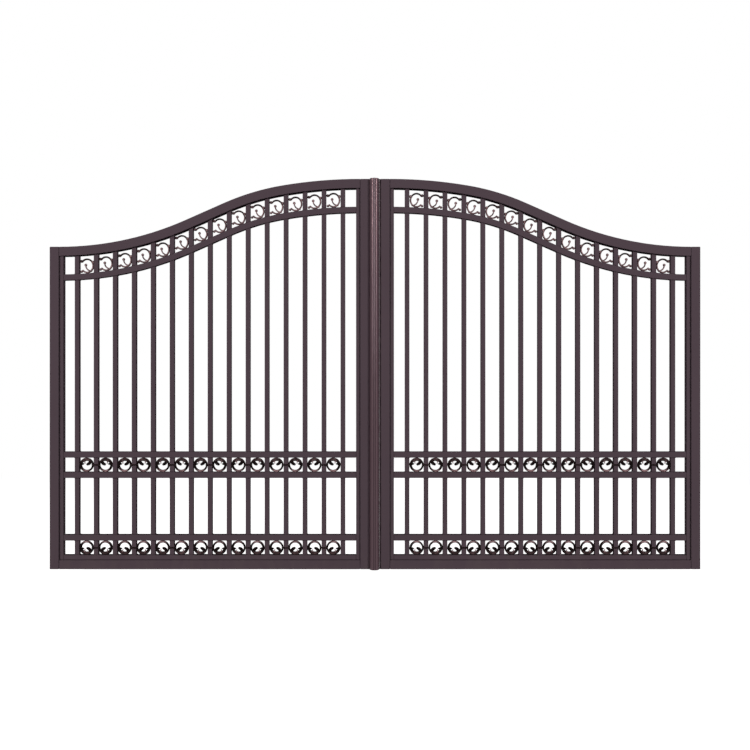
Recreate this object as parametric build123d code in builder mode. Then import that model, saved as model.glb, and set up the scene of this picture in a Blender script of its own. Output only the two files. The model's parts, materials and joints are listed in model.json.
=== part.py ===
"""Double-leaf driveway gate of square tube, with two swept rails, square balusters and cast ornaments.

Millimetres, +Z up, front towards -Y. The origin is the middle of the pier face of the left lower hinge bracket.
"""

import os
from math import asin, atan, cos, degrees, pi, sin, sqrt, tan

from build123d import *

os.makedirs("parts", exist_ok=True)

# Leaves
leaf_width = 1720
hinge_height = 1735
meeting_height = 2100
hinge_gap = 14
meeting_gap = 60

# Frame tube, and the strips that line its inner edge
frame_face = 50
frame_depth = 50
top_rail_height = 50
strip_face = 22
bottom_strip_height = 25

# Swept top edge: radii as shares of its span, angles as shares of the steepest slope
slope_share = 1.88
shoulder_radius_share = 0.811
crown_radius_share = 1.557
crown_angle_share = 0.4

# Balusters, and the rails that they run through
baluster_side = 25
baluster_count = 15
end_bay = 58.7
rail_wall = 3.5
rail_height = 32
scroll_rail_height = 32
middle_rail_base = 490

# Cast rings, linked in pairs across every second baluster
ring_sides = 12
ring_depth = 16
ring_band = 11
crown_lift = 2
link_height = 10
comma_shares = ((0.42, 0.66), (0.30, 0.38), (0.02, 0.15), (0.12, -0.10), (0.48, 0.05), (0.76, 0.40))

# Cast scrolls between the swept rails
scroll_depth = 14
scroll_band = 9
scroll_seat = 0.5
scroll_headroom = 9.8
hook_width = 6
bud_radius = 7
bud_sides = 4
knuckle_length = 13
knuckle_height = 9
hook_shares = ((0.50, -0.74), (0.06, -0.42), (-0.21, 0.18))
mouth_share = 0.56
knuckle_shares = (0.62, -0.66)

# Meeting strip on the left leaf, and the rubber seal on the right leaf
cover_clearance = 7
seal_clearance = 0.3
seal_depth = 14
seal_inset = 4

# Hinges
lower_hinge_height = 250
upper_hinge_drop = 235
axis_inset = 25
axis_back = 22
plate_back = 41
plate_width = 70
plate_height = 140
plate_thickness = 8
bolt_hole_radius = 6.5
bolt_spacing = 100
lug_thickness = 12
pin_radius = 8
pin_overrun = 4
pin_clearance = 0.08
eye_radius = 14
eye_height = 40
eye_seat = 0.5
eye_plate_width = 44
eye_plate_height = 70
eye_plate_thickness = 6
overrun = 5

# Sizes that follow from those above
rail_depth = baluster_side + 2 * rail_wall
inner_start = frame_face + strip_face
inner_end = leaf_width - inner_start
inner_span = inner_end - inner_start
baluster_pitch = (inner_span - 2 * end_bay - baluster_side) / (baluster_count - 1)
bay = baluster_pitch - baluster_side
ring_half = bay / 2
ring_corner = ring_half / cos(pi / ring_sides)
first_baluster = inner_start + end_bay + baluster_side / 2
balusters_at = [first_baluster + i * baluster_pitch for i in range(baluster_count)]
bays_at = [u + baluster_pitch / 2 for u in balusters_at[:-1]]
inner_bottom = frame_face + bottom_strip_height
low_rail_base = inner_bottom + bay
upper_rail_base = middle_rail_base + rail_height + bay
low_row = inner_bottom + ring_half
middle_row = upper_rail_base - ring_half
centre_x = hinge_gap + leaf_width + meeting_gap / 2
leaf_back = plate_back + frame_depth / 2
axis_x = hinge_gap + axis_inset
axis_y = axis_back - plate_back
brackets_at = (0, hinge_height - lower_hinge_height - upper_hinge_drop)
cover_width = meeting_gap - cover_clearance
seal_width = cover_clearance - seal_clearance

# Swept edge: a hollow arc, a straight, a tighter shoulder and a flat crown, level at both ends
span = leaf_width - 2 * frame_face
rise = meeting_height - hinge_height
slope = slope_share * atan(rise / span)
crown_angle = crown_angle_share * slope
shoulder_radius = shoulder_radius_share * span
crown_radius = crown_radius_share * span
run_left = span - shoulder_radius * (sin(slope) - sin(crown_angle)) - crown_radius * sin(crown_angle)
rise_left = rise - shoulder_radius * (cos(crown_angle) - cos(slope)) - crown_radius * (1 - cos(crown_angle))
hollow_radius = (run_left * sin(slope) - rise_left * cos(slope)) / (1 - cos(slope))
straight = (rise_left * sin(slope) - run_left * (1 - cos(slope))) / (1 - cos(slope))

scroll_band_height = 2 * ring_corner / cos(slope) + scroll_seat + scroll_headroom

# Swept edges, each set in from the leaf's top edge and then let down
top_edge = (0, 0)
top_rail_edge = (top_rail_height, 0)
scroll_rail_edge = (top_rail_height, scroll_band_height)
baluster_edge = (top_rail_height + scroll_rail_height, scroll_band_height)

# Leaf plane: right along the leaf from its hinge edge, up from its bottom edge, facing the front
leaf_plane = Plane(origin=(hinge_gap, -leaf_back, -lower_hinge_height), x_dir=(1, 0, 0), z_dir=(0, -1, 0))
leaf_plan = Plane(origin=(hinge_gap, -leaf_back, -lower_hinge_height))
ring_plane = leaf_plane.offset(rail_depth / 2)
mirror_plane = Plane.YZ.offset(centre_x)


def swept_edge(inset, drop):
    """Draws a swept edge from the hinge stile to the meeting stile, and returns its two ends."""
    hollow = JernArc((frame_face, hinge_height - inset - drop), (1, 0), hollow_radius + inset, degrees(slope))
    ramp = Line(hollow @ 1, hollow @ 1 + hollow % 1 * straight)
    shoulder = JernArc(ramp @ 1, ramp % 1, shoulder_radius - inset, degrees(crown_angle - slope))
    crown = JernArc(shoulder @ 1, shoulder % 1, crown_radius - inset, -degrees(crown_angle))
    return hollow @ 0, crown @ 1


def swept_band(upper, lower):
    """Draws round the space between two swept edges."""
    for upper_end, lower_end in zip(swept_edge(*upper), swept_edge(*lower)):
        Line(upper_end, lower_end)


def space_under(edge):
    """Draws round the space between the stiles, from the leaf's bottom edge to a swept edge."""
    start, end = swept_edge(*edge)
    Polyline(start, (start.X, 0), (end.X, 0), end)


def edge_at(u, inset, drop):
    """Height and slope of a swept edge at a distance u along the leaf."""
    along = u - frame_face
    back = span - along
    hollow = hollow_radius + inset
    crown = crown_radius - inset
    shoulder = shoulder_radius - inset
    if along < hollow * sin(slope):
        angle = asin(along / hollow)
        height = hinge_height + hollow_radius - hollow * cos(angle)
    elif along < hollow * sin(slope) + straight * cos(slope):
        angle = slope
        ramp = along - hollow * sin(slope)
        height = hinge_height + hollow_radius - hollow * cos(slope) + ramp * tan(slope)
    elif back < crown * sin(crown_angle):
        angle = asin(back / crown)
        height = meeting_height - crown_radius + crown * cos(angle)
    else:
        lead = crown_radius - shoulder_radius
        angle = asin((back - lead * sin(crown_angle)) / shoulder)
        height = meeting_height - crown_radius + lead * cos(crown_angle) + shoulder * cos(angle)
    return height - drop, angle


def scroll_height(u):
    """Height of a scroll's middle when it stands on the scroll rail."""
    height, angle = edge_at(u, *scroll_rail_edge)
    return height + ring_corner / cos(angle) + scroll_seat


def at(shares):
    """Points given as shares of a ring's half width."""
    return [(ring_half * a, ring_half * b) for a, b in shares]


# Frame of the left leaf
with BuildPart() as hinge_stile:
    with BuildSketch(leaf_plane):
        Rectangle(frame_face, hinge_height, align=Align.MIN)
    extrude(amount=frame_depth / 2, both=True)

with BuildPart() as meeting_stile:
    with BuildSketch(leaf_plane):
        with Locations((leaf_width - frame_face, 0)):
            Rectangle(frame_face, meeting_height, align=Align.MIN)
    extrude(amount=frame_depth / 2, both=True)

with BuildPart() as bottom_rail:
    with BuildSketch(leaf_plane):
        with Locations((frame_face, 0)):
            Rectangle(span, frame_face, align=Align.MIN)
    extrude(amount=frame_depth / 2, both=True)

with BuildPart() as top_rail:
    with BuildSketch(leaf_plane):
        with BuildLine():
            swept_band(top_edge, top_rail_edge)
        make_face()
    extrude(amount=frame_depth / 2, both=True)

# Strips along the inner edges of the frame
with BuildPart() as hinge_strip:
    with BuildSketch(leaf_plane):
        with BuildLine():
            space_under(top_rail_edge)
        make_face()
        with Locations((frame_face, frame_face)):
            Rectangle(strip_face, meeting_height, align=Align.MIN, mode=Mode.INTERSECT)
    extrude(amount=rail_depth / 2, both=True)

with BuildPart() as meeting_strip:
    with BuildSketch(leaf_plane):
        with BuildLine():
            space_under(top_rail_edge)
        make_face()
        with Locations((inner_end, frame_face)):
            Rectangle(strip_face, meeting_height, align=Align.MIN, mode=Mode.INTERSECT)
    extrude(amount=rail_depth / 2, both=True)

with BuildPart() as bottom_strip:
    with BuildSketch(leaf_plane):
        with Locations((inner_start, frame_face)):
            Rectangle(inner_span, bottom_strip_height, align=Align.MIN)
    extrude(amount=rail_depth / 2, both=True)

# Swept rail under the row of scrolls
with BuildPart() as scroll_rail:
    with BuildSketch(leaf_plane):
        with BuildLine():
            swept_band(scroll_rail_edge, baluster_edge)
        make_face()
        with Locations((inner_start, 0)):
            Rectangle(inner_span, meeting_height, align=Align.MIN, mode=Mode.INTERSECT)
    extrude(amount=rail_depth / 2, both=True)

# Balusters from the bottom strip to the scroll rail, and short ones from there to the top rail
with BuildPart() as balusters:
    with BuildSketch(leaf_plane):
        with BuildLine():
            space_under(baluster_edge)
        make_face()
        with Locations(*[(u, inner_bottom) for u in balusters_at]):
            Rectangle(baluster_side, meeting_height, align=(Align.CENTER, Align.MIN), mode=Mode.INTERSECT)
    extrude(amount=baluster_side / 2, both=True)

with BuildPart() as short_balusters:
    with BuildSketch(leaf_plane):
        with BuildLine():
            swept_band(top_rail_edge, scroll_rail_edge)
        make_face()
        with Locations(*[(u, 0) for u in balusters_at]):
            Rectangle(baluster_side, meeting_height, align=(Align.CENTER, Align.MIN), mode=Mode.INTERSECT)
    extrude(amount=baluster_side / 2, both=True)

# Level rails, punched for the balusters
level_rails = {}
for rail_name, rail_base in (
    ("low_rail", low_rail_base),
    ("lower_middle_rail", middle_rail_base),
    ("upper_middle_rail", upper_rail_base),
):
    with BuildPart() as level_rail:
        with BuildSketch(leaf_plan.offset(rail_base)):
            with Locations((inner_start, 0)):
                Rectangle(inner_span, rail_depth, align=(Align.MIN, Align.CENTER))
            with Locations(*[(u, 0) for u in balusters_at]):
                Rectangle(baluster_side, baluster_side, mode=Mode.SUBTRACT)
        extrude(amount=rail_height)
    level_rails[rail_name] = level_rail

# Cast scrolls, one in each bay, open towards the hinge stile
with BuildSketch() as scroll_outline:
    RegularPolygon(ring_half, ring_sides, major_radius=False, rotation=180 / ring_sides)
    RegularPolygon(
        ring_half - scroll_band, ring_sides, major_radius=False, rotation=180 / ring_sides, mode=Mode.SUBTRACT
    )
    with Locations((-ring_half, 0)):
        Rectangle(ring_half, 2 * mouth_share * ring_half, mode=Mode.SUBTRACT)
    with Locations(*[(-ring_half, share * ring_half) for share in knuckle_shares]):
        Rectangle(knuckle_length, knuckle_height, align=(Align.MIN, Align.CENTER))
    with BuildLine():
        Polyline(*at(hook_shares))
    trace(line_width=hook_width)
    with Locations(at(hook_shares)[-1]):
        RegularPolygon(bud_radius, bud_sides)

with BuildPart() as scrolls:
    with BuildSketch(leaf_plane):
        with Locations(*[(u, scroll_height(u)) for u in bays_at]):
            add(scroll_outline.sketch)
    extrude(amount=scroll_depth / 2, both=True)

# Cast rings, in pairs linked across the front of every second baluster
with BuildSketch() as ring_outline:
    RegularPolygon(ring_half, ring_sides, major_radius=False, rotation=180 / ring_sides)
    with Locations((0, -crown_lift)):
        RegularPolygon(
            ring_half - ring_band, ring_sides, major_radius=False, rotation=180 / ring_sides, mode=Mode.SUBTRACT
        )
    Polygon(*at(comma_shares), align=None)

with BuildSketch() as pair_outline:
    with Locations((-baluster_pitch / 2, 0)):
        add(ring_outline.sketch)
    mirror(about=Plane.YZ)

ring_rows = {}
for row_name, row_height, upright in (("middle_rings", middle_row, True), ("low_rings", low_row, False)):
    pair = pair_outline.sketch if upright else mirror(pair_outline.sketch, about=Plane.XZ, mode=Mode.PRIVATE)
    with BuildPart() as ring_row:
        with BuildSketch(ring_plane):
            with Locations(*[(u, row_height) for u in balusters_at[1::2]]):
                add(pair)
        extrude(amount=-ring_depth)
        with BuildSketch(ring_plane):
            with Locations(*[(u, row_height) for u in balusters_at[1::2]]):
                Rectangle(baluster_side + 2 * ring_band, link_height)
        extrude(amount=-rail_wall)
    ring_rows[row_name] = ring_row

# Hinge brackets of the left leaf: a bolted plate, a lug and a pin
with BuildPart() as hinge_brackets:
    for height in brackets_at:
        with BuildSketch(Plane(origin=(0, 0, height), x_dir=(0, 1, 0), z_dir=(1, 0, 0))):
            Rectangle(plate_width, plate_height)
            with GridLocations(0, bolt_spacing, 1, 2):
                Circle(bolt_hole_radius, mode=Mode.SUBTRACT)
        extrude(amount=plate_thickness)
        with BuildSketch(Plane.XY.offset(height - lug_thickness)):
            with Locations((axis_x, axis_y)):
                Rectangle(axis_x - plate_thickness, 2 * eye_radius, align=(Align.MAX, Align.CENTER))
                Circle(eye_radius)
        extrude(amount=lug_thickness)
        with BuildSketch(Plane.XY.offset(height)):
            with Locations((axis_x, axis_y)):
                Circle(pin_radius)
        extrude(amount=eye_seat + eye_height + pin_overrun)

# Hinge eyes of the left leaf, which turn on the pins
with BuildPart() as hinge_eyes:
    for height in brackets_at:
        with BuildSketch(Plane.XY.offset(height + eye_seat)):
            with Locations((axis_x, axis_y)):
                Rectangle(2 * eye_radius, axis_back, align=(Align.CENTER, Align.MAX))
                Circle(eye_radius)
        extrude(amount=eye_height)
        with BuildSketch(Plane.XY.offset(height + eye_seat)):
            with Locations((axis_x, axis_y - axis_back)):
                Rectangle(eye_plate_width, eye_plate_thickness, align=(Align.CENTER, Align.MIN))
        extrude(amount=eye_plate_height)
        with BuildSketch(Plane.XY.offset(height + eye_seat - overrun)):
            with Locations((axis_x, axis_y)):
                Circle(pin_radius + pin_clearance)
        extrude(amount=eye_height + 2 * overrun, mode=Mode.SUBTRACT)

# Half-round strip that covers the meeting gap, welded to the left leaf
with BuildPart() as meeting_cover:
    with BuildSketch(leaf_plan):
        with Locations((leaf_width, 0)):
            Rectangle(cover_width, frame_depth, align=(Align.MIN, Align.CENTER))
        with Locations((leaf_width + cover_width / 2, -frame_depth / 2)):
            Circle(cover_width / 2)
    extrude(amount=meeting_height)
meeting_cover.part.label = "meeting_cover"
export_step(meeting_cover.part, "parts/meeting_cover.step")

# Rubber seal along the meeting edge of the right leaf
with BuildPart() as meeting_seal:
    with BuildSketch(leaf_plan):
        with Locations((leaf_width + meeting_gap, seal_inset - frame_depth / 2)):
            Rectangle(seal_width, seal_depth, align=(Align.MAX, Align.MIN))
    extrude(amount=meeting_height)
meeting_seal.part.label = "meeting_seal"
export_step(meeting_seal.part, "parts/meeting_seal.step")

# Both leaves and their brackets, the right ones mirrored about the middle of the gate
left_pieces = {
    "hinge_stile": hinge_stile,
    "meeting_stile": meeting_stile,
    "bottom_rail": bottom_rail,
    "top_rail": top_rail,
    "hinge_strip": hinge_strip,
    "meeting_strip": meeting_strip,
    "bottom_strip": bottom_strip,
    "scroll_rail": scroll_rail,
    "balusters": balusters,
    "short_balusters": short_balusters,
    **level_rails,
    "scrolls": scrolls,
    **ring_rows,
    "hinge_eyes": hinge_eyes,
    "hinge_brackets": hinge_brackets,
}
for name, left in left_pieces.items():
    left.part.label = f"left_{name}"
    export_step(left.part, f"parts/left_{name}.step")
    with BuildPart() as right:
        mirror(left.part, about=mirror_plane)
    right.part.label = f"right_{name}"
    export_step(right.part, f"parts/right_{name}.step")
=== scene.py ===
"""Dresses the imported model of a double-leaf driveway gate.

The tubes get rounded edges and weld fillets, the castings their full shapes, and the hinges their bolts.
Metres, +Z up, front towards -Y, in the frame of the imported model.
"""

import json
from math import cos, pi, radians, sin

import bmesh
import bpy
from bpy.props import FloatProperty, FloatVectorProperty, IntProperty, PointerProperty
from mathutils import Matrix, Vector


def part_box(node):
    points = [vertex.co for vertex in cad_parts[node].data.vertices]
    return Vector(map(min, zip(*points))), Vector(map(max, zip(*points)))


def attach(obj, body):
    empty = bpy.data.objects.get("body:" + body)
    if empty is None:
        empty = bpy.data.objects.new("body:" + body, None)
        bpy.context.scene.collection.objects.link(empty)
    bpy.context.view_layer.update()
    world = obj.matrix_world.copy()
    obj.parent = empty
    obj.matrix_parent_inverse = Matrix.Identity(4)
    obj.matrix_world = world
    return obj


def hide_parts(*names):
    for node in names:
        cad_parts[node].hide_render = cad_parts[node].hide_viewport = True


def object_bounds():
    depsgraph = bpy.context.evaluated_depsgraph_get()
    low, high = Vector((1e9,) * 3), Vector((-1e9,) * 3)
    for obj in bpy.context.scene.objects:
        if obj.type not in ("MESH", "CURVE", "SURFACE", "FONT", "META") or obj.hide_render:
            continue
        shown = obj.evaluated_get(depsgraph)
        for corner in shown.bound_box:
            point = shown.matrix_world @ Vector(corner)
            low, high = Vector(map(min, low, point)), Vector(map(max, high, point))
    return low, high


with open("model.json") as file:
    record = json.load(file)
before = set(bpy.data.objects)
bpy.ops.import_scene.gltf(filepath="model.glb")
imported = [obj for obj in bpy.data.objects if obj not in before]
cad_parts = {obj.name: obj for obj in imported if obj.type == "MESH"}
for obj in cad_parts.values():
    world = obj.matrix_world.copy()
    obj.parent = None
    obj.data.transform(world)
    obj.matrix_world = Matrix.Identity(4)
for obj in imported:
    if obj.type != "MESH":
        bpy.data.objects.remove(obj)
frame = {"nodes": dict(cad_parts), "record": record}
cad_box = [list(corner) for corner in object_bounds()]

bl_info = {
    "name": "Driveway gate",
    "version": (1, 0, 0),
    "blender": (4, 5, 0),
    "location": "View3D > Sidebar > Gate",
    "description": "Dresses a double-leaf driveway gate with rounded tube, castings, hinges and a studio stage",
    "category": "Object",
}

SIDES = ("left", "right")
LEVEL_RAILS = ("low_rail", "lower_middle_rail", "upper_middle_rail")
FRAME_TUBES = ("hinge_stile", "meeting_stile", "bottom_rail", "top_rail")
SLIM_TUBES = ("hinge_strip", "meeting_strip", "bottom_strip", "scroll_rail")


class TubeSizes(bpy.types.PropertyGroup):
    """Edges and welds of the square tubes."""

    frame_edge: FloatProperty(
        name="Frame edge", description="Edge radius of the frame tube", default=0.003, unit="LENGTH"
    )
    bar_edge: FloatProperty(
        name="Bar edge", description="Edge radius of balusters, rails and strips", default=0.002, unit="LENGTH"
    )
    weld_leg: FloatProperty(
        name="Weld leg", description="Leg of the weld fillets round the balusters", default=0.0022, unit="LENGTH"
    )


class CastingSizes(bpy.types.PropertyGroup):
    """Bands, bulbs and hooks of the cast ornaments."""

    ring_band: FloatProperty(
        name="Ring band", description="Width of a ring's band", default=0.0118, unit="LENGTH"
    )
    crown_swell: FloatProperty(
        name="Crown swell", description="Extra width of the band at a ring's crown", default=0.0066, unit="LENGTH"
    )
    scroll_band: FloatProperty(
        name="Scroll band", description="Width of a scroll's band", default=0.0092, unit="LENGTH"
    )
    knuckle: FloatProperty(
        name="Knuckle", description="Radius of the knuckles on a scroll", default=0.0068, unit="LENGTH"
    )
    bud: FloatProperty(
        name="Bud", description="Radius of the bud that ends a scroll", default=0.0078, unit="LENGTH"
    )
    link_half: FloatProperty(
        name="Link half", description="Half height of the link between two rings", default=0.0042, unit="LENGTH"
    )
    link_swell: FloatProperty(
        name="Link swell", description="Growth of that half height towards the rings", default=0.0008, unit="LENGTH"
    )
    link_depth: FloatProperty(
        name="Link depth", description="Half depth of the link", default=0.00172, unit="LENGTH"
    )
    link_inset: FloatProperty(
        name="Link inset", description="From the rings' front to the link's middle", default=0.00175, unit="LENGTH"
    )
    seat: FloatProperty(
        name="Seat", description="Share of a casting's half width that its band reaches", default=0.995
    )
    segments: IntProperty(name="Segments", description="Steps round a ring", default=44)
    section: IntProperty(name="Section", description="Points round a casting's section", default=10)


class HingeSizes(bpy.types.PropertyGroup):
    """Edges and anchor bolts of the hinges."""

    edge: FloatProperty(name="Edge", description="Edge radius of plates and eyes", default=0.001, unit="LENGTH")
    pin_reach: FloatProperty(
        name="Pin reach", description="Bare steel within this distance of the axis", default=0.0085, unit="LENGTH"
    )
    washer_radius: FloatProperty(
        name="Washer radius", description="Radius of an anchor's washer", default=0.012, unit="LENGTH"
    )
    washer_height: FloatProperty(
        name="Washer height", description="Thickness of an anchor's washer", default=0.0025, unit="LENGTH"
    )
    head_radius: FloatProperty(
        name="Head radius", description="Corner radius of an anchor's head", default=0.0104, unit="LENGTH"
    )
    head_height: FloatProperty(
        name="Head height", description="Height of an anchor's head", default=0.0075, unit="LENGTH"
    )
    chamfer: FloatProperty(
        name="Chamfer", description="Broken edge of an anchor's washer", default=0.0004, unit="LENGTH"
    )
    head_chamfer: FloatProperty(
        name="Head chamfer", description="Height of the bevel on an anchor's head", default=0.0012, unit="LENGTH"
    )
    head_inset: FloatProperty(
        name="Head inset", description="Inset of the bevel on an anchor's head", default=0.0014, unit="LENGTH"
    )
    plate: FloatProperty(
        name="Plate", description="Thickness of a bracket's plate", default=0.008, unit="LENGTH"
    )
    bolt_spacing: FloatProperty(
        name="Bolt spacing", description="Distance between a plate's two anchors", default=0.1, unit="LENGTH"
    )


class CoverSizes(bpy.types.PropertyGroup):
    """Reeds and edges of the meeting strip."""

    edge: FloatProperty(name="Edge", description="Edge radius at the strip's ends", default=0.0015, unit="LENGTH")
    reed_pitch: FloatProperty(
        name="Reed pitch", description="Distance between the reeds on the nose", default=0.0105, unit="LENGTH"
    )
    reed_depth: FloatProperty(
        name="Reed depth", description="Depth of the grooves between the reeds", default=0.0014, unit="LENGTH"
    )
    steps: IntProperty(name="Steps", description="Steps round the half-round strip", default=72)


class CoatColours(bpy.types.PropertyGroup):
    """Colours of the coats."""

    frame: FloatVectorProperty(
        name="Frame", description="Satin coat of the tubes", default=(0.080, 0.056, 0.067), subtype="COLOR"
    )
    casting: FloatVectorProperty(
        name="Casting", description="Dark ground of the castings", default=(0.0085, 0.0055, 0.0055), subtype="COLOR"
    )
    # Also the colour of the painted highlights on the meeting strip's reeds.
    copper: FloatVectorProperty(
        name="Copper", description="Rubbed crests of the castings", default=(0.300, 0.182, 0.190), subtype="COLOR"
    )
    cover: FloatVectorProperty(
        name="Cover", description="Glossy coat of the meeting strip", default=(0.102, 0.062, 0.074), subtype="COLOR"
    )
    hinge: FloatVectorProperty(
        name="Hinge", description="Satin coat of the hinges", default=(0.046, 0.034, 0.040), subtype="COLOR"
    )
    steel: FloatVectorProperty(
        name="Steel", description="Bare pins and anchor bolts", default=(0.46, 0.45, 0.43), subtype="COLOR"
    )
    rubber: FloatVectorProperty(
        name="Rubber", description="Seal in the meeting gap", default=(0.240, 0.185, 0.200), subtype="COLOR"
    )


class StageSizes(bpy.types.PropertyGroup):
    """Camera, lamps and floor."""

    camera: FloatVectorProperty(
        name="Camera", description="Place of the camera", default=(1.764, -4.591, 0.795), subtype="XYZ"
    )
    lens: FloatProperty(name="Lens", description="Focal length in millimetres", default=40.18)
    lamp_distance: FloatProperty(
        name="Lamp distance", description="From the middle of the gate to a lamp", default=10.0, unit="LENGTH"
    )
    lamp_angle: FloatProperty(
        name="Lamp angle", description="Turn of a lamp from the camera's line", default=radians(42), subtype="ANGLE"
    )
    lamp_lift: FloatProperty(
        name="Lamp lift", description="Height of a lamp over the gate's middle", default=2.2, unit="LENGTH"
    )
    lamp_width: FloatProperty(name="Lamp width", description="Width of a lamp", default=1.2, unit="LENGTH")
    lamp_height: FloatProperty(name="Lamp height", description="Height of a lamp", default=3.5, unit="LENGTH")
    lamp_power: FloatProperty(name="Lamp power", description="Power of a front lamp in watts", default=610.0)
    back_power: FloatProperty(name="Back power", description="Power of the back lamp in watts", default=560.0)
    ambient: FloatProperty(name="Ambient", description="Strength of the light from all round", default=0.10)
    floor_drop: FloatProperty(
        name="Floor drop", description="From the bottom of the leaves to the floor", default=0.05, unit="LENGTH"
    )
    floor_reach: FloatProperty(
        name="Floor reach", description="From the middle of the floor to its edge", default=40.0, unit="LENGTH"
    )
    fade_start: FloatProperty(
        name="Fade start", description="Where the floor begins to fade to white", default=2.5, unit="LENGTH"
    )
    fade_end: FloatProperty(
        name="Fade end", description="Where the floor is wholly white", default=6.0, unit="LENGTH"
    )


class Signal:
    """A shader socket whose arithmetic adds Math nodes."""

    def __init__(self, graph, socket):
        self.graph = graph
        self.socket = socket

    def _math(self, operation, first, second):
        return self.graph.node("ShaderNodeMath", {"operation": operation}, {0: first, 1: second})

    def __add__(self, other):
        return self._math("ADD", self, other)

    def __radd__(self, other):
        return self._math("ADD", other, self)

    def __sub__(self, other):
        return self._math("SUBTRACT", self, other)

    def __rsub__(self, other):
        return self._math("SUBTRACT", other, self)

    def __mul__(self, other):
        return self._math("MULTIPLY", self, other)

    def __rmul__(self, other):
        return self._math("MULTIPLY", other, self)


class Graph:
    """A node tree, of a material or of the world."""

    def __init__(self, tree):
        self.tree = tree

    def node(self, kind, settings, inputs, output=0):
        """Adds a node of a kind, with its settings and then the values or links of its sockets."""
        made = self.tree.nodes.new(kind)
        for name, value in settings.items():
            setattr(made, name, value)
        for key, value in inputs.items():
            self.feed(made.inputs[key], value)
        return Signal(self, made.outputs[output])

    def feed(self, socket, value):
        """Links a signal to a socket, or sets its value."""
        if isinstance(value, Signal):
            self.tree.links.new(value.socket, socket)
        else:
            socket.default_value = value


class Coat(Graph):
    """A material that is built up from nodes."""

    def __init__(self, name):
        self.material = bpy.data.materials.new(name)
        self.material.use_nodes = True
        super().__init__(self.material.node_tree)
        self.shader = self.tree.nodes["Principled BSDF"]

    def place(self, stretch=(1, 1, 1)):
        """Place on the piece, stretched along its axes."""
        here = self.node("ShaderNodeTexCoord", {}, {}, "Object")
        return self.node("ShaderNodeMapping", {}, {"Vector": here, "Scale": stretch})

    def noise(self, scale, detail=2.0, stretch=(1, 1, 1)):
        """Soft noise with so many waves in a metre."""
        return self.node(
            "ShaderNodeTexNoise", {}, {"Vector": self.place(stretch), "Scale": scale, "Detail": detail}
        )

    def step(self, value, low, high):
        """A smooth step from 0 at low to 1 at high."""
        return self.node(
            "ShaderNodeMapRange", {"interpolation_type": "SMOOTHSTEP"}, {0: value, 1: low, 2: high}
        )

    def blend(self, factor, first, second):
        """A colour between two others."""
        first = first if isinstance(first, Signal) else (*first, 1)
        second = second if isinstance(second, Signal) else (*second, 1)
        return self.node("ShaderNodeMix", {"data_type": "RGBA"}, {0: factor, 6: first, 7: second}, 2)

    def bump(self, height, distance, strength=1.0):
        """Feeds the surface's fine relief."""
        relief = self.node(
            "ShaderNodeBump", {}, {"Height": height, "Distance": distance, "Strength": strength}
        )
        self.feed(self.shader.inputs["Normal"], relief)

    def finish(self, **values):
        """Feeds the shader's sockets and returns the material."""
        for name, value in values.items():
            value = (*value, 1) if name == "Base_Color" and not isinstance(value, Signal) else value
            self.feed(self.shader.inputs[name.replace("_", " ")], value)
        return self.material


def shade(colour, share):
    """A colour made darker or lighter."""
    return tuple(min(1.0, part * share) for part in colour)


def tube_coat(name, colour, roughness):
    """Matt powder coat with orange peel, faint clouds, painted shade on the rounded edges and on the sides, tops and
    undersides of the bars, and dust near the ground.
    """
    coat = Coat(name)
    clouds = coat.noise(2.3, 3)
    peel = coat.noise(700, 2)
    specks = coat.step(coat.noise(240, 2), 0.66, 0.74)
    rim = coat.node("ShaderNodeAttribute", {"attribute_name": "rim"}, {}, "Fac")
    height = coat.node("ShaderNodeSeparateXYZ", {}, {0: coat.place()}, "Z")
    dust = (1 - coat.step(height, -0.26, 0.05)) * coat.step(coat.noise(18, 4, (1, 1, 0.35)), 0.42, 0.75)
    tone = coat.blend(clouds, shade(colour, 0.93), shade(colour, 1.07))
    tone = coat.blend(specks * 0.25, tone, shade(colour, 1.35))
    # Painted shade: the rounded edges, marked by rim, are darkened.
    tone = coat.blend(rim * 0.5, tone, shade(colour, 0.72))
    # Painted shade: faces that turn sideways, up or down are darkened, standing in for the shade on the bars' sides,
    # tops and undersides.
    facing = coat.node("ShaderNodeTexCoord", {}, {}, "Normal")
    for axis, share in (("X", 0.45), ("Z", 0.6)):
        turned = coat.node("ShaderNodeSeparateXYZ", {}, {0: facing}, axis)
        tone = coat.blend(coat.step(turned * turned, 0.3, 0.8) * share, tone, shade(colour, 0.2))
    tone = coat.blend(dust * 0.10, tone, (0.16, 0.13, 0.11))
    coat.bump(peel, 0.00025, 0.35)
    return coat.finish(
        Base_Color=tone, Roughness=roughness + peel * 0.10 + dust * 0.15 - rim * 0.08, Specular_IOR_Level=0.0
    )


def casting_coat(name, ground, copper):
    """Sand-cast grain under near-black paint, rubbed to copper on the crests."""
    coat = Coat(name)
    grain = coat.noise(520, 4)
    patches = coat.step(coat.noise(42, 3), 0.40, 0.62)
    crest = coat.node("ShaderNodeAttribute", {"attribute_name": "crest"}, {}, "Fac")
    rub = crest * (0.6 + patches * 0.4)
    rub = coat.step(rub + grain * 0.3, 0.15, 1.05)
    tone = coat.blend(grain, shade(ground, 0.7), shade(ground, 1.4))
    tone = coat.blend(rub * 0.9, tone, copper)
    coat.bump(grain, 0.0005, 0.5)
    return coat.finish(
        Base_Color=tone, Roughness=0.55 - rub * 0.15, Metallic=rub * 0.2, Specular_IOR_Level=0.0
    )


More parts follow.
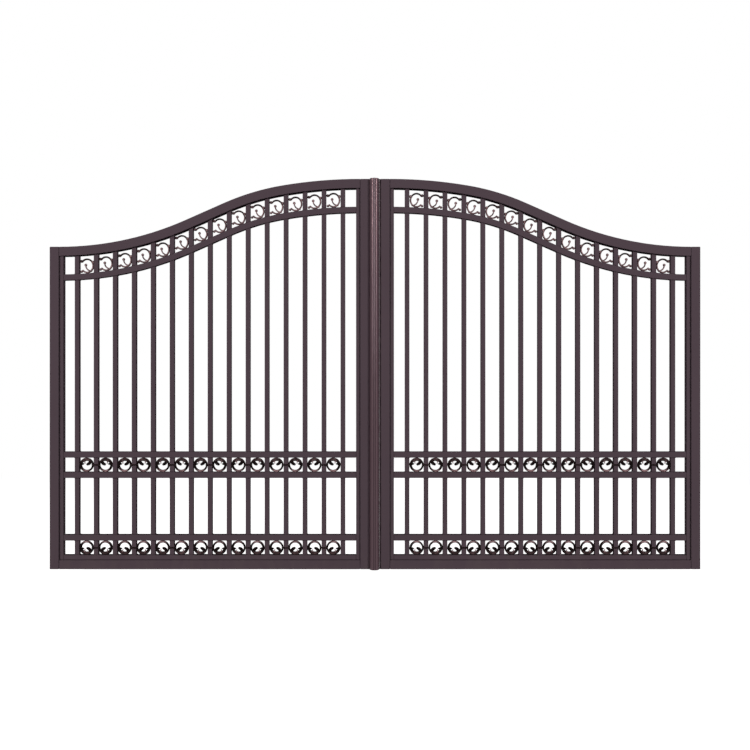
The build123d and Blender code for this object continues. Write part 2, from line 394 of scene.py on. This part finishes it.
def cover_coat(name, colour, copper):
    """Glossy coat with fine drawn lines, painted shade in the grooves and painted highlights on the reeds, stronger
    towards the top.
    """
    coat = Coat(name)
    drawn = coat.noise(260, 2, (1, 1, 0.01))
    clouds = coat.noise(1.6, 3)
    peel = coat.noise(420, 2)
    tone = coat.blend(clouds, shade(colour, 0.88), shade(colour, 1.12))
    tone = coat.blend(drawn * 0.4, tone, shade(colour, 0.75))
    groove = coat.node("ShaderNodeAttribute", {"attribute_name": "groove"}, {}, "Fac")
    # Painted shade in the grooves between the reeds.
    tone = coat.blend(groove * 0.8, tone, shade(colour, 0.35))
    height = coat.node("ShaderNodeSeparateXYZ", {}, {0: coat.place()}, "Z")
    # Painted highlights: the side reeds, and faintly the middle reed, are lightened towards copper, most near the
    # top.
    painted_highlight = coat.node("ShaderNodeAttribute", {"attribute_name": "painted_highlight"}, {}, "Fac")
    highlight_strength = painted_highlight * (0.05 + coat.step(height, -0.2, 1.3) * 0.06 + coat.step(height, 1.1, 1.9) * 0.42)
    tone = coat.blend(highlight_strength, tone, shade(copper, 2.0))
    coat.bump(drawn * 0.6 + peel * 0.4, 0.0001, 0.25)
    return coat.finish(Base_Color=tone, Metallic=0.12, Roughness=0.20 + drawn * 0.08, Specular_IOR_Level=0.08)


def steel_coat(name, colour):
    """Bare turned steel with fine rings and a little tarnish."""
    coat = Coat(name)
    turned = coat.noise(300, 2, (0.1, 0.1, 6))
    tarnish = coat.step(coat.noise(60, 4), 0.45, 0.7)
    tone = coat.blend(tarnish, colour, shade(colour, 0.55))
    coat.bump(turned, 0.0001, 0.3)
    return coat.finish(Base_Color=tone, Metallic=1.0, Roughness=0.30 + tarnish * 0.2 + turned * 0.08)


def rubber_coat(name, colour):
    """Matt extruded rubber with faint lines along it."""
    coat = Coat(name)
    drawn = coat.noise(500, 2, (1, 1, 0.004))
    chalk = coat.step(coat.noise(30, 4), 0.5, 0.8)
    tone = coat.blend(chalk * 0.3, colour, shade(colour, 2.6))
    coat.bump(drawn, 0.0002, 0.3)
    return coat.finish(Base_Color=tone, Roughness=0.72 + chalk * 0.12, Specular_IOR_Level=0.0)


def coat_for(name, make, *values):
    """The made coat of that name, made at its first use; the pack's own materials have the plain names."""
    title = f"made_{name}"
    return bpy.data.materials.get(title) or make(title, *values)


def frame_finish(scene):
    """The coat of the tubes and welds."""
    return coat_for("frame_coat", tube_coat, tuple(scene.gate_coats.frame), 0.46)


def casting_finish(scene):
    """The coat of the rings and scrolls."""
    return coat_for("casting_coat", casting_coat, tuple(scene.gate_coats.casting), tuple(scene.gate_coats.copper))


def steel_finish(scene):
    """The finish of pins and anchors."""
    return coat_for("bare_steel", steel_coat, tuple(scene.gate_coats.steel))


def node_mesh(node):
    """The welded faces of a CAD node, with flat faces joined."""
    shape = bmesh.new()
    shape.from_mesh(frame["nodes"][node].data)
    shape.transform(frame["nodes"][node].matrix_world)
    bmesh.ops.remove_doubles(shape, verts=shape.verts, dist=1e-5)
    bmesh.ops.dissolve_limit(
        shape, angle_limit=radians(0.4), verts=shape.verts, edges=shape.edges, use_dissolve_boundaries=False
    )
    return shape


def islands(shape):
    """Lowest and highest corner of each loose piece of a shape."""
    left = set(shape.verts)
    boxes = []
    while left:
        start = left.pop()
        found, reach = [start], [start]
        while reach:
            for edge in reach.pop().link_edges:
                for vert in edge.verts:
                    if vert in left:
                        left.remove(vert)
                        found.append(vert)
                        reach.append(vert)
        corners = list(zip(*(vert.co for vert in found)))
        boxes.append((Vector(map(min, corners)), Vector(map(max, corners))))
    return sorted(boxes, key=lambda box: box[0].x)


def round_edges(shape, radius):
    """Rounds the sharp edges of a shape and marks the crests of the roundings."""
    layer = shape.verts.layers.float.new("rim")
    sharp = [edge for edge in shape.edges if edge.is_manifold and edge.calc_face_angle(0) > radians(30)]
    made = bmesh.ops.bevel(
        shape, geom=sharp, offset=radius, offset_type="OFFSET", segments=2, profile=0.5, affect="EDGES",
        clamp_overlap=True,
    )
    rounded = set(made["faces"])
    for vert in made["verts"]:
        if all(face in rounded for face in vert.link_faces):
            vert[layer] = 1.0


def add_box(shape, low, high):
    """Adds a plain block to a shape."""
    middle = (low + high) / 2
    size = Matrix.Diagonal((*(high - low), 1))
    bmesh.ops.create_cube(shape, size=1, matrix=Matrix.Translation(middle) @ size)


def add_piece(shape, name, body, nodes, materials, crisp=True):
    """Makes a shape into a piece that rides on a body and stands for CAD nodes."""
    bmesh.ops.recalc_face_normals(shape, faces=shape.faces)
    for face in shape.faces:
        face.smooth = True
    mesh = bpy.data.meshes.new(name)
    shape.to_mesh(mesh)
    shape.free()
    for material in materials:
        mesh.materials.append(material)
    piece = bpy.data.objects.new(name, mesh)
    bpy.context.collection.objects.link(piece)
    if crisp:
        weighted = piece.modifiers.new("even_shading", "WEIGHTED_NORMAL")
        weighted.weight = 100
    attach(piece, body)
    if nodes:
        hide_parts(*nodes)
    return piece


def curve_through(points, steps):
    """Points on a smooth curve through others; each may carry more values, such as a width."""
    points = [Vector(point) for point in points]
    ends = [2 * points[0] - points[1], *points, 2 * points[-1] - points[-2]]
    line = []
    for a, b, c, d in zip(ends, ends[1:], ends[2:], ends[3:]):
        for step in range(steps):
            t = step / steps
            line.append(
                0.5 * (2 * b + (c - a) * t + (2 * a - 5 * b + 4 * c - d) * t**2 + (3 * b - a - 3 * c + d) * t**3)
            )
    return [*line, points[-1]]


class Casting:
    """Adds swept and round forms to a shape, about a middle, mirrored sideways or upside down at will."""

    def __init__(self, shape, middle, sideways, upwards, sides):
        self.shape = shape
        self.middle = middle
        self.turn = Vector((sideways, upwards))
        self.sides = sides
        self.crest = shape.verts.layers.float.get("crest") or shape.verts.layers.float.new("crest")

    def section(self, place, across, width, depth, shift, rub):
        """One oval section, with the rub of its crest marked towards the front."""
        ring = []
        for k in range(self.sides):
            turn = 2 * pi * k / self.sides
            c, s = cos(turn), sin(turn)
            out = (abs(c) ** 0.8) * (1 if c > 0 else -1) * width
            back = (abs(s) ** 0.8) * (1 if s > 0 else -1) * depth + shift
            x = (place.x + across.x * out) * self.turn.x
            z = (place.y + across.y * out) * self.turn.y
            vert = self.shape.verts.new(self.middle + Vector((x, back, z)))
            vert[self.crest] = max(0.0, -s) * rub
            ring.append(vert)
        return ring

    def sweep(self, line, depth, shift=0.0, closed=False):
        """Sweeps an oval section along a line of (x, z, half width, rub), with round ends where it is open."""
        count = len(line)
        rings = []
        for i, spot in enumerate(line):
            before = line[i - 1] if closed or i else line[0]
            after = line[(i + 1) % count] if closed or i < count - 1 else line[-1]
            along = Vector((after[0] - before[0], after[1] - before[1])).normalized()
            rings.append((Vector(spot[:2]), along, spot[2], 1.0, spot[3]))
        if not closed:
            rings = [*self.dome(rings[0], -1), *rings, *reversed(self.dome(rings[-1], 1))]
        made = [
            self.section(place, Vector((-along.y, along.x)), width * share, depth * share, shift, rub)
            for place, along, width, share, rub in rings
        ]
        pairs = list(zip(made, made[1:] + made[:1])) if closed else list(zip(made, made[1:]))
        for first, second in pairs:
            for k in range(self.sides):
                j = (k + 1) % self.sides
                self.shape.faces.new((first[k], first[j], second[j], second[k]))
        if not closed:
            self.shape.faces.new(made[0])
            self.shape.faces.new(made[-1])

    @staticmethod
    def dome(ring, way):
        """Shrinking sections that round off an end, from the tip inwards."""
        place, along, width, _, rub = ring
        tips = []
        for turn in (80, 55, 28):
            lift = along * way * width * sin(radians(turn))
            tips.append((place + lift, along, width, cos(radians(turn)), rub))
        return tips

    def ball(self, place, radius, depth, shift, rub):
        """A round boss, drawn out to a depth."""
        x, z = place[0] * self.turn.x, place[1] * self.turn.y
        matrix = Matrix.Translation(self.middle + Vector((x, shift, z)))
        matrix = matrix @ Matrix.Diagonal((radius, depth, radius, 1)) @ Matrix.Rotation(pi / 2, 4, "X")
        made = bmesh.ops.create_uvsphere(self.shape, u_segments=12, v_segments=8, radius=1, matrix=matrix)
        for vert in made["verts"]:
            vert[self.crest] = max(0.0, (self.middle.y + shift - vert.co.y) / depth) * rub


def scaled(points, half):
    """Points of (x, z, half width, rub) whose first three values are shares of a casting's half width."""
    return [Vector((x * half, z * half, width * half, rub)) for x, z, width, rub in points]


RING_COMMA = ((0.42, 0.70, 0.20, 0.3), (0.50, 0.44, 0.23, 0.0), (0.37, 0.20, 0.23, 0.0), (0.14, 0.07, 0.19, 0.1))
RING_SPUR = ((-0.84, 0.10, 0.21, 0.0), (-0.60, 0.12, 0.17, 0.0), (-0.44, 0.12, 0.11, 0.1))
RING_STEM = ((-0.32, 0.76, 0.11, 1.0), (-0.28, 0.56, 0.10, 1.0), (-0.25, 0.38, 0.06, 1.0), (-0.21, 0.17, 0.045, 1.0))
RING_BEAD = (-0.28, 0.53)
RING_BEAD_RADIUS = 0.15
SCROLL_HOOK = (
    (0.62, -0.72, 0.10, 0.8),
    (0.38, -0.67, 0.10, 0.8),
    (0.07, -0.50, 0.095, 0.7),
    (-0.12, -0.24, 0.09, 0.7),
    (-0.18, -0.02, 0.09, 0.9),
    (-0.20, 0.12, 0.09, 1.0),
)
SCROLL_COLLAR = ((0.95, 0.56, 0.15, 0.9), (0.74, 0.52, 0.13, 0.9))
SCROLL_KNUCKLES = ((-0.80, 0.66, 1.2, 0.45), (0.80, 0.53, 1.3, 1.0), (-0.77, -0.79, 1.05, 0.8))
SCROLL_BUD = (-0.19, 0.14)
SCROLL_TURNS = (radians(143), radians(-134))
SCROLL_REACH = (0.845, 0.92)
SCROLL_LIFT = 0.03


def cast_ring(shape, middle, half, depth, sideways, upwards, sizes):
    """One ring with a swollen crown, a comma, a spur and a bead on a stem."""
    casting = Casting(shape, middle, sideways, upwards, sizes.section)
    line = []
    for i in range(sizes.segments):
        turn = 2 * pi * i / sizes.segments
        crown = max(0.0, sin(turn) - 0.3) / 0.7
        width = sizes.ring_band * (1 - 0.14 * cos(turn)) + sizes.crown_swell * crown**0.7
        reach = half * sizes.seat - width / 2
        rub = 0.35 * crown if sin(turn) > 0 else sin(turn) ** 4
        line.append((cos(turn) * reach, sin(turn) * reach, width / 2, rub))
    casting.sweep(line, depth, closed=True)
    casting.sweep(curve_through(scaled(RING_COMMA, half), 5), depth * 0.86, -depth * 0.05)
    casting.sweep(curve_through(scaled(RING_SPUR, half), 4), depth * 0.7, -depth * 0.1)
    casting.sweep(curve_through(scaled(RING_STEM, half), 3), depth * 0.45, -depth * 0.2)
    casting.ball(Vector(RING_BEAD) * half, RING_BEAD_RADIUS * half, depth * 0.7, -depth * 0.2, 1.0)


def cast_scroll(shape, middle, half, depth, sideways, sizes):
    """One open scroll with knuckles, a hook and a bud."""
    casting = Casting(shape, middle, sideways, 1, sizes.section)
    band = sizes.scroll_band / 2
    first, last = SCROLL_TURNS
    wide, tall = SCROLL_REACH
    steps = round(sizes.segments * 0.8)
    line = []
    for i in range(steps + 1):
        turn = first + (last - first) * i / steps
        rise = SCROLL_LIFT + tall * sin(turn)
        line.append((cos(turn) * wide * half, rise * half, band, 0.75 - 0.55 * max(0.0, sin(turn))))
    casting.sweep(line, depth)
    casting.sweep(curve_through(scaled(SCROLL_HOOK, half), 4), depth * 0.75)
    casting.ball(Vector(SCROLL_BUD) * half, sizes.bud, depth * 0.95, 0.0, 1.0)
    for x, z, swell, rub in SCROLL_KNUCKLES:
        casting.ball((x * half, z * half), sizes.knuckle * swell, depth * 0.98, 0.0, rub)
    casting.sweep(curve_through(scaled(SCROLL_COLLAR, half), 2), depth * 0.9)


class GATE_OT_round_tubes(bpy.types.Operator):
    """Round the edges of the frame tubes, strips and rails"""

    bl_idname = "gate.round_tubes"
    bl_label = "Round the tubes"

    def execute(self, context):
        sizes = context.scene.gate_tubes
        finish = frame_finish(context.scene)
        for side in SIDES:
            for name in FRAME_TUBES + SLIM_TUBES:
                shape = node_mesh(f"{side}_{name}")
                round_edges(shape, sizes.frame_edge if name in FRAME_TUBES else sizes.bar_edge)
                add_piece(
                    shape, f"{side}_{name}_tube", f"{side}_leaf", [f"{side}_{name}"], [finish]
                )
            for name in LEVEL_RAILS:
                shape = bmesh.new()
                add_box(shape, *map(Vector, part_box(f"{side}_{name}")))
                round_edges(shape, sizes.bar_edge)
                add_piece(
                    shape, f"{side}_{name}_tube", f"{side}_leaf", [f"{side}_{name}"], [finish]
                )
        return {"FINISHED"}


class GATE_OT_stand_balusters(bpy.types.Operator):
    """Round the balusters and run weld fillets where they meet the rails"""

    bl_idname = "gate.stand_balusters"
    bl_label = "Stand the balusters"

    def execute(self, context):
        sizes = context.scene.gate_tubes
        finish = frame_finish(context.scene)
        for side in SIDES:
            welds = bmesh.new()
            for name in ("balusters", "short_balusters"):
                shape = bmesh.new()
                solids = node_mesh(f"{side}_{name}")
                for low, high in islands(solids):
                    feet, tops = (self.ends(solids, low, high, pick) for pick in (min, max))
                    self.bar(shape, low, high, feet, tops)
                    self.fillet(welds, low, high, feet, 1, sizes.weld_leg)
                    self.fillet(welds, low, high, tops, -1, sizes.weld_leg)
                    if name == "balusters":
                        for rail in LEVEL_RAILS:
                            under, top = (corner[2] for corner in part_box(f"{side}_{rail}"))
                            self.fillet(welds, low, high, (under,) * 2, -1, sizes.weld_leg)
                            self.fillet(welds, low, high, (top,) * 2, 1, sizes.weld_leg)
                solids.free()
                bmesh.ops.recalc_face_normals(shape, faces=shape.faces)
                round_edges(shape, sizes.bar_edge)
                add_piece(
                    shape, f"{side}_{name}_tube", f"{side}_leaf", [f"{side}_{name}"], [finish]
                )
            add_piece(welds, f"{side}_welds", f"{side}_leaf", [], [finish], crisp=False)
        return {"FINISHED"}

    @staticmethod
    def ends(solids, low, high, pick):
        """Heights of a baluster's end at its left and right side: min picks the foot and max the top."""
        return [pick(vert.co.z for vert in solids.verts if abs(vert.co.x - x) < 1e-5) for x in (low.x, high.x)]

    @staticmethod
    def loop(shape, low, high, heights, out=0.0, up=0.0):
        """Four corners round a baluster, as sloped as its end is."""
        left, right = heights[0] + up, heights[1] + up
        corners = (
            (low.x - out, low.y - out, left), (high.x + out, low.y - out, right),
            (high.x + out, high.y + out, right), (low.x - out, high.y + out, left),
        )
        return [shape.verts.new(corner) for corner in corners]

    @staticmethod
    def skin(shape, pairs):
        """Faces between pairs of loops."""
        for first, second in pairs:
            for k in range(4):
                j = (k + 1) % 4
                shape.faces.new((first[k], first[j], second[j], second[k]))

    def bar(self, shape, low, high, feet, tops):
        """A square bar with sloped ends."""
        loops = [self.loop(shape, low, high, heights) for heights in (feet, tops)]
        self.skin(shape, [loops])
        for corners in loops:
            shape.faces.new(corners)

    def fillet(self, welds, low, high, heights, way, leg):
        """A sloped collar round a baluster, on the side of a rail that way points to."""
        profile = ((0.0, leg), (leg * 0.45, leg * 0.45), (leg, 0.0), (0.0, -leg * 0.5))
        loops = [self.loop(welds, low, high, heights, out, up * way) for out, up in profile]
        self.skin(welds, zip(loops, loops[1:] + loops[:1]))


class GATE_OT_cast_scrolls(bpy.types.Operator):
    """Cast the open scrolls between the swept rails"""

    bl_idname = "gate.cast_scrolls"
    bl_label = "Cast the scrolls"

    def execute(self, context):
        sizes = context.scene.gate_castings
        finish = casting_finish(context.scene)
        for side, sideways in zip(SIDES, (1, -1)):
            shape = bmesh.new()
            solids = node_mesh(f"{side}_scrolls")
            for low, high in islands(solids):
                half, depth = (high.z - low.z) / 2, (high.y - low.y) / 2
                cast_scroll(shape, (low + high) / 2, half, depth, sideways, sizes)
            solids.free()
            add_piece(
                shape, f"{side}_scrolls_cast", f"{side}_leaf", [f"{side}_scrolls"], [finish],
                crisp=False,
            )
        return {"FINISHED"}


class GATE_OT_cast_rings(bpy.types.Operator):
    """Cast the linked pairs of rings in the middle and low bands"""

    bl_idname = "gate.cast_rings"
    bl_label = "Cast the rings"

    def execute(self, context):
        sizes = context.scene.gate_castings
        finish = casting_finish(context.scene)
        for side in SIDES:
            for row, upwards in (("middle_rings", 1), ("low_rings", -1)):
                shape = bmesh.new()
                solids = node_mesh(f"{side}_{row}")
                for low, high in islands(solids):
                    self.cast_pair(shape, low, high, upwards, sizes)
                solids.free()
                add_piece(
                    shape, f"{side}_{row}_cast", f"{side}_leaf", [f"{side}_{row}"], [finish],
                    crisp=False,
                )
        return {"FINISHED"}

    @staticmethod
    def cast_pair(shape, low, high, upwards, sizes):
        """Two rings and the link between them, in front of a baluster."""
        half, depth = (high.z - low.z) / 2, (high.y - low.y) / 2
        middle = (low + high) / 2
        for sideways in (1, -1):
            place = middle.copy()
            place.x = low.x + half if sideways > 0 else high.x - half
            cast_ring(shape, place, half, depth, sideways, upwards, sizes)
        gap = (high.x - low.x) / 2 - 2 * half
        link = Casting(shape, middle, 1, upwards, sizes.section)
        ends = gap + sizes.ring_band * 0.5
        line = [
            (x * ends, 0, sizes.link_half + sizes.link_swell * abs(x), 0.15) for x in (-1, -0.5, 0, 0.5, 1)
        ]
        link.sweep(line, sizes.link_depth, -depth + sizes.link_inset)


class GATE_OT_fit_hinges(bpy.types.Operator):
    """Round the hinge brackets and eyes and fit the anchor bolts"""

    bl_idname = "gate.fit_hinges"
    bl_label = "Fit the hinges"

    def execute(self, context):
        sizes = context.scene.gate_hinges
        coats = context.scene.gate_coats
        finish = coat_for("hinge_coat", tube_coat, tuple(coats.hinge), 0.5)
        steel = steel_finish(context.scene)
        for side, way in zip(SIDES, (1, -1)):
            joint = next(j for j in frame["record"]["behaviour"]["joints"] if j["name"].startswith(side))
            axis = Vector(joint["pos_m"])
            for name, body in (("hinge_brackets", "hinge_brackets"), ("hinge_eyes", f"{side}_leaf")):
                shape = node_mesh(f"{side}_{name}")
                round_edges(shape, sizes.edge)
                for face in shape.faces:
                    on_pin = all((vert.co - axis).xy.length < sizes.pin_reach for vert in face.verts)
                    if name == "hinge_brackets" and on_pin and face.normal.z > -0.5:
                        face.material_index = 1
                add_piece(
                    shape, f"{side}_{name}_made", body, [f"{side}_{name}"], [finish, steel]
                )
            self.anchors(side, way, sizes, steel)
        return {"FINISHED"}

    @staticmethod
    def anchors(side, way, sizes, steel):
        """Two anchors with washers on each of a side's plates."""
        shape = bmesh.new()
        mounts = [m for m in frame["record"]["mounts"] if m["name"].startswith(side) and m["kind"] == "bolt_pattern"]
        for mount in mounts:
            for lift in (-sizes.bolt_spacing / 2, sizes.bolt_spacing / 2):
                foot = Vector(mount["pos_m"]) + Vector((way * sizes.plate, 0, lift))
                rim, face = sizes.washer_radius, sizes.washer_height
                profile = (
                    (rim - sizes.chamfer, 0.0), (rim, sizes.chamfer),
                    (rim, face - sizes.chamfer), (rim - sizes.chamfer, face),
                )
                turn_round(shape, foot, way, profile, 24)
                corner, top = sizes.head_radius, face + sizes.head_height
                profile = (
                    (corner, face), (corner, top - sizes.head_chamfer), (corner - sizes.head_inset, top)
                )
                turn_round(shape, foot, way, profile, 6)
        add_piece(shape, f"{side}_anchors", "hinge_brackets", [], [steel])


def turn_round(shape, foot, way, profile, sides):
    """Turns a profile of (radius, height) about a line along X from a foot, and closes both ends."""
    turns = [2 * pi * k / sides for k in range(sides)]
    loops = [
        [shape.verts.new(foot + Vector((way * height, radius * cos(turn), radius * sin(turn)))) for turn in turns]
        for radius, height in profile
    ]
    for first, second in zip(loops, loops[1:]):
        for k in range(sides):
            j = (k + 1) % sides
            shape.faces.new((first[k], first[j], second[j], second[k]))
    shape.faces.new(loops[0])
    shape.faces.new(loops[-1])


SEAL_LIPS = (
    (0.0, -1.0), (0.30, -1.0), (0.42, -0.86), (0.90, -0.66), (1.0, -0.5), (0.92, -0.36), (0.62, -0.14),
    (0.62, 0.14), (0.92, 0.36), (1.0, 0.5), (0.90, 0.66), (0.42, 0.86), (0.30, 1.0), (0.0, 1.0),
)


class GATE_OT_close_gap(bpy.types.Operator):
    """Make the reeded half-round strip and the rubber seal of the meeting gap"""

    bl_idname = "gate.close_gap"
    bl_label = "Close the meeting gap"

    def execute(self, context):
        coats = context.scene.gate_coats
        sizes = context.scene.gate_cover
        low, high = map(Vector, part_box("meeting_cover"))
        radius = (high.x - low.x) / 2
        middle, nose = (low.x + high.x) / 2, low.y + radius
        outline = [(high.x, high.y), (low.x, high.y)]
        for i in range(sizes.steps + 1):
            turn = pi + pi * i / sizes.steps
            across = cos(turn) * radius
            groove = self.groove(abs(across) / sizes.reed_pitch) * sizes.reed_depth
            outline.append((middle + across, nose + sin(turn) * (radius - groove)))
        shape = bmesh.new()
        for name in ("groove", "painted_highlight"):
            shape.verts.layers.float.new(name)
        self.draw_out(shape, outline, low.z, high.z)
        round_edges(shape, sizes.edge)
        groove, painted_highlight = (shape.verts.layers.float[name] for name in ("groove", "painted_highlight"))
        # The first mark carries the painted shade in the grooves; the second carries the painted highlights on the
        # two side reeds and faintly on the middle reed.
        for vert in shape.verts:
            across = abs(vert.co.x - middle) / sizes.reed_pitch
            vert[groove] = self.groove(across)
            vert[painted_highlight] = max(0.0, 1 - 4 * abs(across - 1)) + 0.1 * max(0.0, 1 - 5 * across)
        finish = coat_for("cover_coat", cover_coat, tuple(coats.cover), tuple(coats.copper))
        add_piece(shape, "meeting_cover_strip", "left_leaf", ["meeting_cover"], [finish])
        self.lip_seal(coats)
        return {"FINISHED"}

    def lip_seal(self, coats):
        """A seal with two soft lips on each of its faces."""
        low, high = map(Vector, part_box("meeting_seal"))
        width, half = high.x - low.x, (high.y - low.y) / 2
        middle = (low.y + high.y) / 2
        outline = [(high.x - out * width, middle + across * half) for out, across in SEAL_LIPS]
        shape = bmesh.new()
        self.draw_out(shape, outline, low.z, high.z)
        finish = coat_for("seal_rubber", rubber_coat, tuple(coats.rubber))
        add_piece(shape, "meeting_seal_lips", "right_leaf", ["meeting_seal"], [finish])

    @staticmethod
    def groove(across):
        """Share of a groove's depth so many reeds from the strip's middle: three reeds, then plain flanks."""
        return (1 - cos(2 * pi * across)) / 2 if across < 1 else 0.0

    @staticmethod
    def draw_out(shape, outline, bottom, top):
        """Draws an outline out upwards."""
        foot = shape.faces.new([shape.verts.new((x, y, bottom)) for x, y in outline])
        made = bmesh.ops.extrude_face_region(shape, geom=[foot], use_keep_orig=True)
        raised = [item for item in made["geom"] if isinstance(item, bmesh.types.BMVert)]
        bmesh.ops.translate(shape, verts=raised, vec=(0, 0, top - bottom))
        bmesh.ops.recalc_face_normals(shape, faces=shape.faces)


class GATE_OT_set_stage(bpy.types.Operator):
    """Set the camera, the tall lamps, the floor and the white surround"""

    bl_idname = "gate.set_stage"
    bl_label = "Set the stage"

    def execute(self, context):
        scene = context.scene
        sizes = scene.gate_stage
        low, high = map(Vector, cad_box)
        middle = (low + high) / 2
        view = bpy.data.cameras.new("front_view")
        view.lens = sizes.lens
        view.sensor_width = 36
        camera = bpy.data.objects.new("front_view", view)
        camera.location = sizes.camera
        camera.rotation_euler = (pi / 2, 0, 0)
        context.collection.objects.link(camera)
        scene.camera = camera
        for name, turn, power in (
            ("left", -sizes.lamp_angle, sizes.lamp_power),
            ("right", sizes.lamp_angle, sizes.lamp_power),
            ("back", pi, sizes.back_power),
        ):
            reach = Vector((sin(turn), -cos(turn), 0)) * sizes.lamp_distance
            reach.z = sizes.lamp_lift
            self.hang_lamp(context, f"{name}_lamp", middle + reach, reach, power)
        self.lay_floor(context, Vector((middle.x, middle.y, low.z - sizes.floor_drop)))
        self.fill_world(scene, sizes.ambient)
        scene.view_settings.view_transform = "Standard"
        return {"FINISHED"}

    @staticmethod
    def hang_lamp(context, name, place, reach, power):
        """A tall soft lamp that faces back along its reach and isn't seen itself."""
        lamp = bpy.data.lights.new(name, "AREA")
        lamp.shape = "RECTANGLE"
        lamp.size, lamp.size_y = context.scene.gate_stage.lamp_width, context.scene.gate_stage.lamp_height
        lamp.energy = power
        stand = bpy.data.objects.new(name, lamp)
        stand.location = place
        stand.rotation_euler = reach.to_track_quat("Z", "Y").to_euler()
        stand.visible_camera = False
        context.collection.objects.link(stand)

    @staticmethod
    def seen(graph):
        """1 where the camera sees something, straight or in gloss or through glass, and 0 elsewhere."""
        views = [
            graph.node("ShaderNodeLightPath", {}, {}, name)
            for name in ("Is Camera Ray", "Is Glossy Ray", "Is Transmission Ray")
        ]
        straight, gloss, glass = views
        return graph.node("ShaderNodeMath", {"operation": "ADD", "use_clamp": True}, {0: straight + gloss, 1: glass})

    def lay_floor(self, context, place):
        """A wide pale floor, white to the camera apart from the gate's shadow."""
        sizes = context.scene.gate_stage
        shape = bmesh.new()
        bmesh.ops.create_grid(shape, x_segments=4, y_segments=4, size=sizes.floor_reach)
        mesh = bpy.data.meshes.new("floor")
        shape.to_mesh(mesh)
        shape.free()
        floor = bpy.data.objects.new("floor", mesh)
        floor.location = place
        context.collection.objects.link(floor)
        paint = bpy.data.materials.new("pale_floor")
        paint.use_nodes = True
        graph = Graph(paint.node_tree)
        bounce = graph.node("ShaderNodeBsdfDiffuse", {}, {"Color": (0.06, 0.06, 0.06, 1)})
        shadow = graph.node("ShaderNodeBsdfDiffuse", {}, {"Color": (0.60, 0.60, 0.60, 1)})
        glow = graph.node("ShaderNodeEmission", {}, {"Strength": 0.92})
        near = graph.node("ShaderNodeAddShader", {}, {0: shadow, 1: glow})
        white = graph.node("ShaderNodeEmission", {}, {"Strength": 1.0})
        here = graph.node("ShaderNodeTexCoord", {}, {}, "Object")
        away = graph.node("ShaderNodeVectorMath", {"operation": "LENGTH"}, {0: here}, "Value")
        far = graph.node(
            "ShaderNodeMapRange", {"interpolation_type": "SMOOTHSTEP"},
            {0: away, 1: sizes.fade_start, 2: sizes.fade_end},
        )
        bright = graph.node("ShaderNodeMixShader", {}, {0: far, 1: near, 2: white})
        surface = graph.node("ShaderNodeMixShader", {}, {0: self.seen(graph), 1: bounce, 2: bright})
        graph.feed(graph.tree.nodes["Material Output"].inputs["Surface"], surface)
        mesh.materials.append(paint)

    def fill_world(self, scene, ambient):
        """White to the camera, and a low even light for everything else."""
        world = bpy.data.worlds.new("white_surround")
        world.use_nodes = True
        scene.world = world
        graph = Graph(world.node_tree)
        dim = graph.node("ShaderNodeBackground", {}, {"Color": (1, 1, 1, 1), "Strength": ambient})
        white = graph.node("ShaderNodeBackground", {}, {"Color": (1, 1, 1, 1), "Strength": 1.0})
        surface = graph.node("ShaderNodeMixShader", {}, {0: self.seen(graph), 1: dim, 2: white})
        graph.feed(graph.tree.nodes["World Output"].inputs["Surface"], surface)


SETTINGS = {
    "gate_tubes": TubeSizes,
    "gate_castings": CastingSizes,
    "gate_hinges": HingeSizes,
    "gate_cover": CoverSizes,
    "gate_coats": CoatColours,
    "gate_stage": StageSizes,
}
OPERATORS = (
    GATE_OT_round_tubes,
    GATE_OT_stand_balusters,
    GATE_OT_cast_scrolls,
    GATE_OT_cast_rings,
    GATE_OT_fit_hinges,
    GATE_OT_close_gap,
    GATE_OT_set_stage,
)


class GATE_PT_sidebar(bpy.types.Panel):
    """Steps and sizes of the gate"""

    bl_idname = "GATE_PT_sidebar"
    bl_label = "Driveway gate"
    bl_space_type = "VIEW_3D"
    bl_region_type = "UI"
    bl_category = "Gate"

    def draw(self, context):
        for operator in OPERATORS:
            self.layout.operator(operator.bl_idname)
        for name, group in SETTINGS.items():
            box = self.layout.box()
            for field in group.__annotations__:
                box.prop(getattr(context.scene, name), field)


def register():
    """Registers the settings, the operators and the panel."""
    for group in SETTINGS.values():
        bpy.utils.register_class(group)
    for name, group in SETTINGS.items():
        setattr(bpy.types.Scene, name, PointerProperty(type=group))
    for operator in OPERATORS:
        bpy.utils.register_class(operator)
    bpy.utils.register_class(GATE_PT_sidebar)


def unregister():
    """Takes them away again."""
    bpy.utils.unregister_class(GATE_PT_sidebar)
    for operator in reversed(OPERATORS):
        bpy.utils.unregister_class(operator)
    for name, group in SETTINGS.items():
        delattr(bpy.types.Scene, name)
        bpy.utils.unregister_class(group)


def main():
    """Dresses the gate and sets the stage."""
    register()
    bpy.ops.gate.round_tubes()
    bpy.ops.gate.stand_balusters()
    bpy.ops.gate.cast_scrolls()
    bpy.ops.gate.cast_rings()
    bpy.ops.gate.fit_hinges()
    bpy.ops.gate.close_gap()
    bpy.ops.gate.set_stage()


if __name__ == "__main__":
    main()
